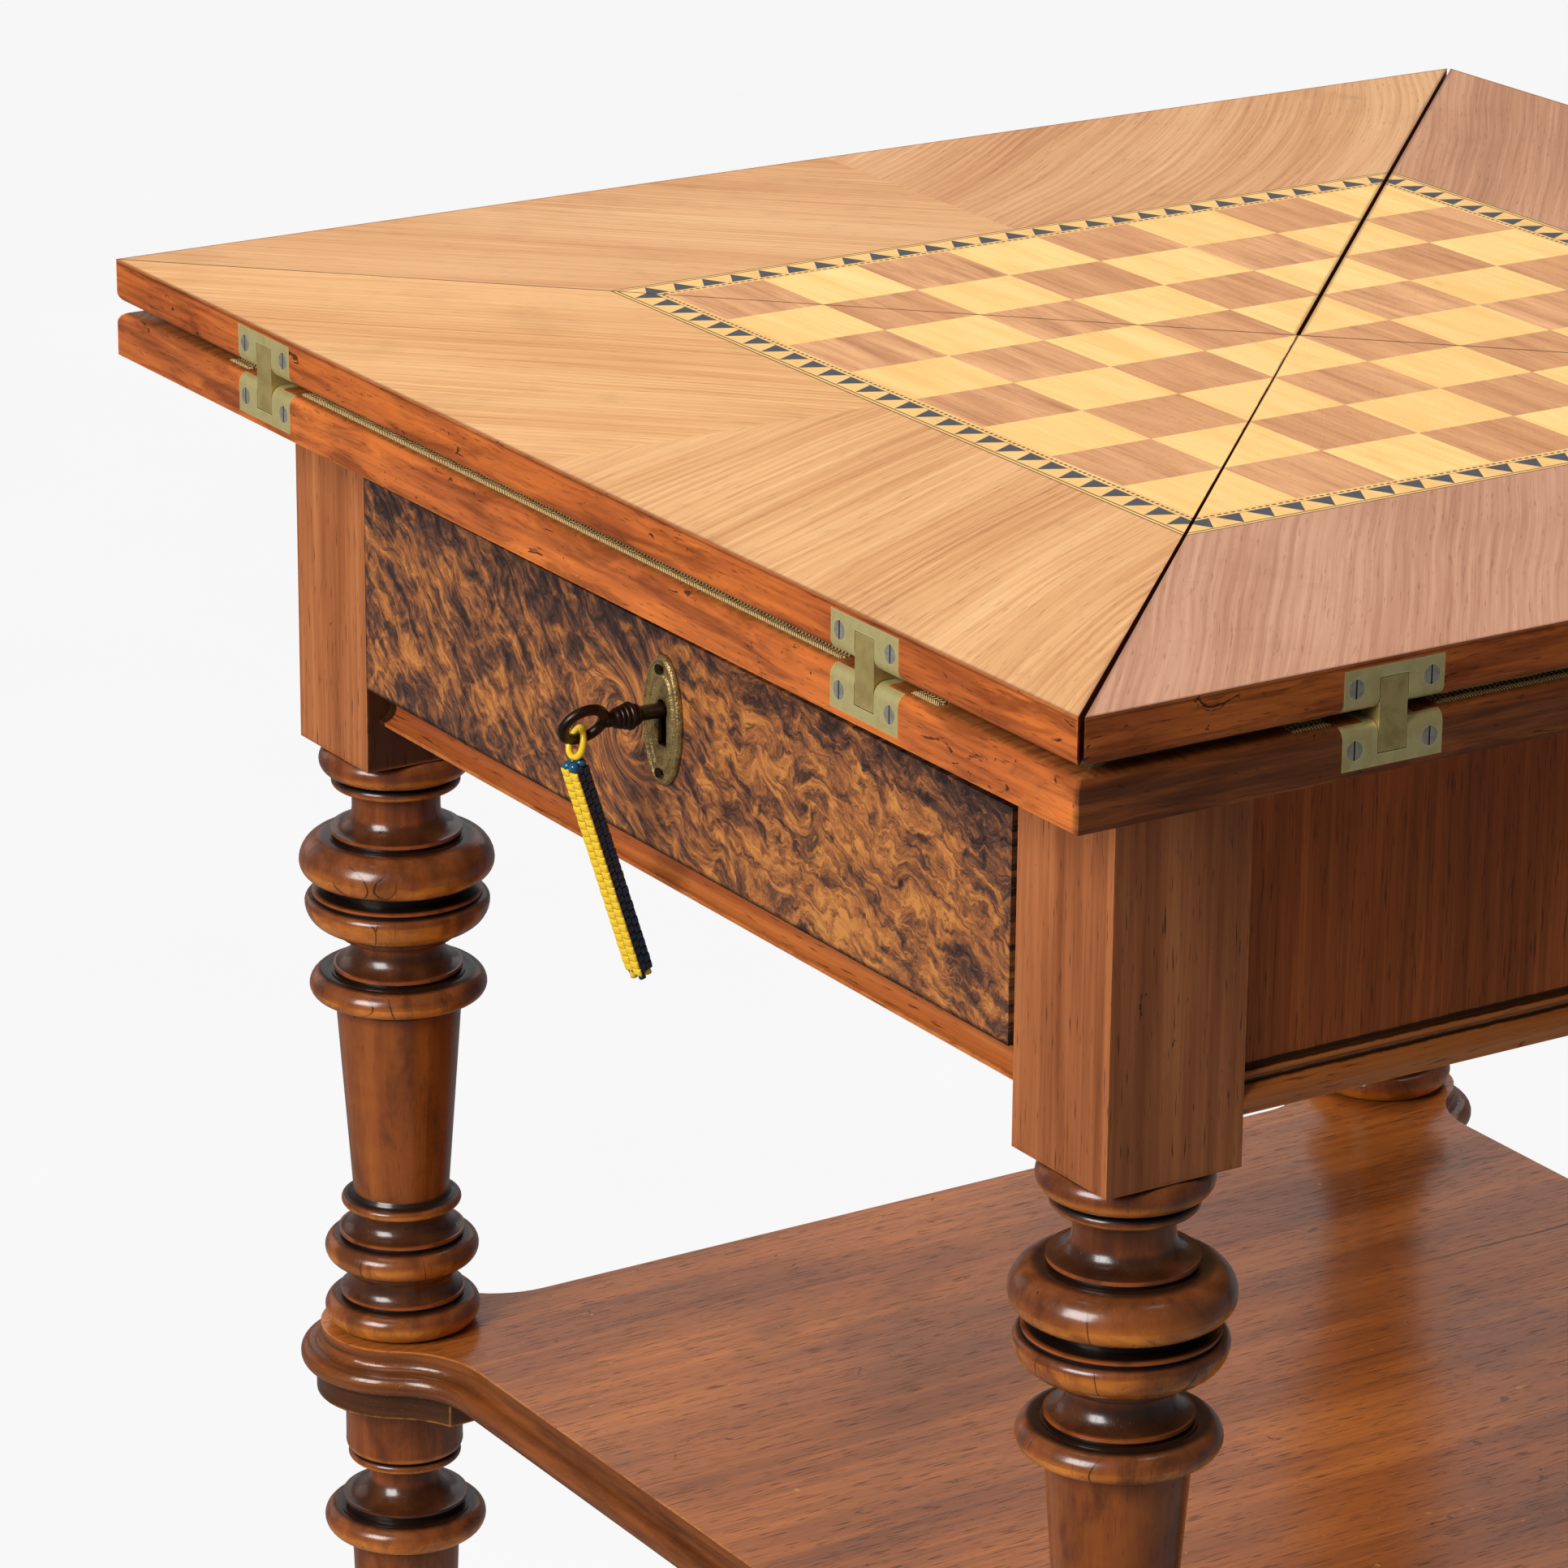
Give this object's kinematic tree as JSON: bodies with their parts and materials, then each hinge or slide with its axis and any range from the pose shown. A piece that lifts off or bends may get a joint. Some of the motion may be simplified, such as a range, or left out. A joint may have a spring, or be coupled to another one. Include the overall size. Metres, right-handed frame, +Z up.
{
  "type": "envelope card table",
  "caption": "Antique square card table: triangular folding leaves with an inlaid chessboard, swivelling top, burr drawer with lock and key, turned legs and moulded shelf.",
  "frame": {"origin": "on the floor under the middle of the table", "axes": "+Z up; the drawer opens towards -Y; +X is to the right seen from the drawer side"},
  "size_m": [0.59, 0.59, 0.74],
  "materials": {
    "leg_wood": "dark polished, worn on the beads",
    "shelf_wood": "polished, open pores",
    "apron_wood": "polished",
    "inner_wood": "bare, planed",
    "base_wood": "polished",
    "leaf_veneer": "polished veneer with an inlaid chessboard",
    "burr_veneer": "polished burr veneer",
    "hinge_brass": "bright, lightly tarnished",
    "screw_steel": "dull",
    "pivot_steel": "dull",
    "aged_brass": "aged and speckled",
    "key_iron": "dark bronze brown, worn bright on the edges",
    "baize": "napped",
    "braid": "woven gold braid",
    "lace_yellow": "glossy",
    "lace_blue": "glossy"
  },
  "bodies": {
    "frame": {"leg_front_left": "leg_wood", "leg_front_right": "leg_wood", "leg_back_left": "leg_wood", "leg_back_right": "leg_wood", "lower_leg_front_left": "leg_wood", "lower_leg_front_right": "leg_wood", "lower_leg_back_left": "leg_wood", "lower_leg_back_right": "leg_wood", "shelf": "shelf_wood", "shelf_pads": "shelf_wood", "front_top_rail": "apron_wood", "front_bottom_rail": "apron_wood", "side_rail_left": "apron_wood", "side_rail_right": "apron_wood", "back_rail": "apron_wood", "rail_mouldings": "apron_wood", "drawer_runners": "inner_wood", "pivot_bearer": "inner_wood"},
    "top": {"base_top": "base_wood", "base_baize": "baize", "base_braid": "braid", "base_hinge_plates": "hinge_brass", "base_hinge_screws": "screw_steel", "pivot_bolt": "pivot_steel"},
    "drawer": {"drawer_front": "burr_veneer", "drawer_bottom": "inner_wood", "drawer_side_left": "inner_wood", "drawer_side_right": "inner_wood", "drawer_back": "inner_wood", "lock_case": "hinge_brass", "escutcheon": "aged_brass", "escutcheon_pins": "aged_brass"},
    "lock_bolt": {"lock_bolt": "pivot_steel"},
    "key": {"key": "key_iron"},
    "key_loop": {"key_loop": "lace_yellow"},
    "fob": {"fob": "lace_blue"},
    "links_front": {"links_front": "hinge_brass"},
    "leaf_front": {"leaf_front_panel": "leaf_veneer", "leaf_front_baize": "baize", "leaf_front_braid": "braid", "leaf_front_hinge_plates": "hinge_brass", "leaf_front_hinge_screws": "screw_steel"},
    "links_right": {"links_right": "hinge_brass"},
    "leaf_right": {"leaf_right_panel": "leaf_veneer", "leaf_right_baize": "baize", "leaf_right_braid": "braid", "leaf_right_hinge_plates": "hinge_brass", "leaf_right_hinge_screws": "screw_steel"},
    "links_back": {"links_back": "hinge_brass"},
    "leaf_back": {"leaf_back_panel": "leaf_veneer", "leaf_back_baize": "baize", "leaf_back_braid": "braid", "leaf_back_hinge_plates": "hinge_brass", "leaf_back_hinge_screws": "screw_steel"},
    "links_left": {"links_left": "hinge_brass"},
    "leaf_left": {"leaf_left_panel": "leaf_veneer", "leaf_left_baize": "baize", "leaf_left_braid": "braid", "leaf_left_hinge_plates": "hinge_brass", "leaf_left_hinge_screws": "screw_steel"}
  },
  "joints": [
    {"name": "top_swivel", "type": "hinge", "parent": "frame", "child": "top", "pos_m": [0, 0, 0.705], "axis": [0, 0, 1], "range_deg": [0, 45]},
    {"name": "link_front_hinge", "type": "hinge", "parent": "top", "child": "links_front", "pos_m": [0, -0.2904, 0.716], "axis": [1, 0, 0], "range_deg": [0, 90]},
    {"name": "leaf_front_hinge", "type": "hinge", "parent": "links_front", "child": "leaf_front", "pos_m": [0, -0.2904, 0.7295], "axis": [1, 0, 0], "range_deg": [0, 90]},
    {"name": "link_right_hinge", "type": "hinge", "parent": "top", "child": "links_right", "pos_m": [0.2904, 0, 0.716], "axis": [0, 1, 0], "range_deg": [0, 90]},
    {"name": "leaf_right_hinge", "type": "hinge", "parent": "links_right", "child": "leaf_right", "pos_m": [0.2904, 0, 0.7295], "axis": [0, 1, 0], "range_deg": [0, 90]},
    {"name": "link_back_hinge", "type": "hinge", "parent": "top", "child": "links_back", "pos_m": [0, 0.2904, 0.716], "axis": [-1, 0, 0], "range_deg": [0, 90]},
    {"name": "leaf_back_hinge", "type": "hinge", "parent": "links_back", "child": "leaf_back", "pos_m": [0, 0.2904, 0.7295], "axis": [-1, 0, 0], "range_deg": [0, 90]},
    {"name": "link_left_hinge", "type": "hinge", "parent": "top", "child": "links_left", "pos_m": [-0.2904, 0, 0.716], "axis": [0, -1, 0], "range_deg": [0, 90]},
    {"name": "leaf_left_hinge", "type": "hinge", "parent": "links_left", "child": "leaf_left", "pos_m": [-0.2904, 0, 0.7295], "axis": [0, -1, 0], "range_deg": [0, 90]},
    {"name": "drawer_slide", "type": "slide", "parent": "frame", "child": "drawer", "axis": [0, -1, 0], "range_m": [0, 0.3]},
    {"name": "key_turn", "type": "hinge", "parent": "drawer", "child": "key", "pos_m": [0, -0.2495, 0.6505], "axis": [0, -1, 0], "range_deg": [0, 90]},
    {"name": "bolt_throw", "type": "slide", "parent": "drawer", "child": "lock_bolt", "axis": [0, 0, 1], "range_m": [0, 0.006]},
    {"name": "loop_hang", "type": "hinge", "parent": "key", "child": "key_loop", "pos_m": [-0.00355, -0.2801, 0.64459], "axis": [0, -1, 0], "range_deg": [-90, 0]},
    {"name": "fob_swing", "type": "hinge", "parent": "key_loop", "child": "fob", "pos_m": [-0.00355, -0.28043, 0.64354], "axis": [0, 0.9532, -0.3024], "range_deg": [-35, 35]}
  ],
  "couplings": [
    {"joint": "leaf_front_hinge", "follows": "link_front_hinge", "ratio": 1},
    {"joint": "leaf_right_hinge", "follows": "link_right_hinge", "ratio": 1},
    {"joint": "leaf_back_hinge", "follows": "link_back_hinge", "ratio": 1},
    {"joint": "leaf_left_hinge", "follows": "link_left_hinge", "ratio": 1},
    {"joint": "bolt_throw", "follows": "key_turn", "m_per_rad": 0.0038197},
    {"joint": "loop_hang", "follows": "key_turn", "ratio": -1}
  ]
}
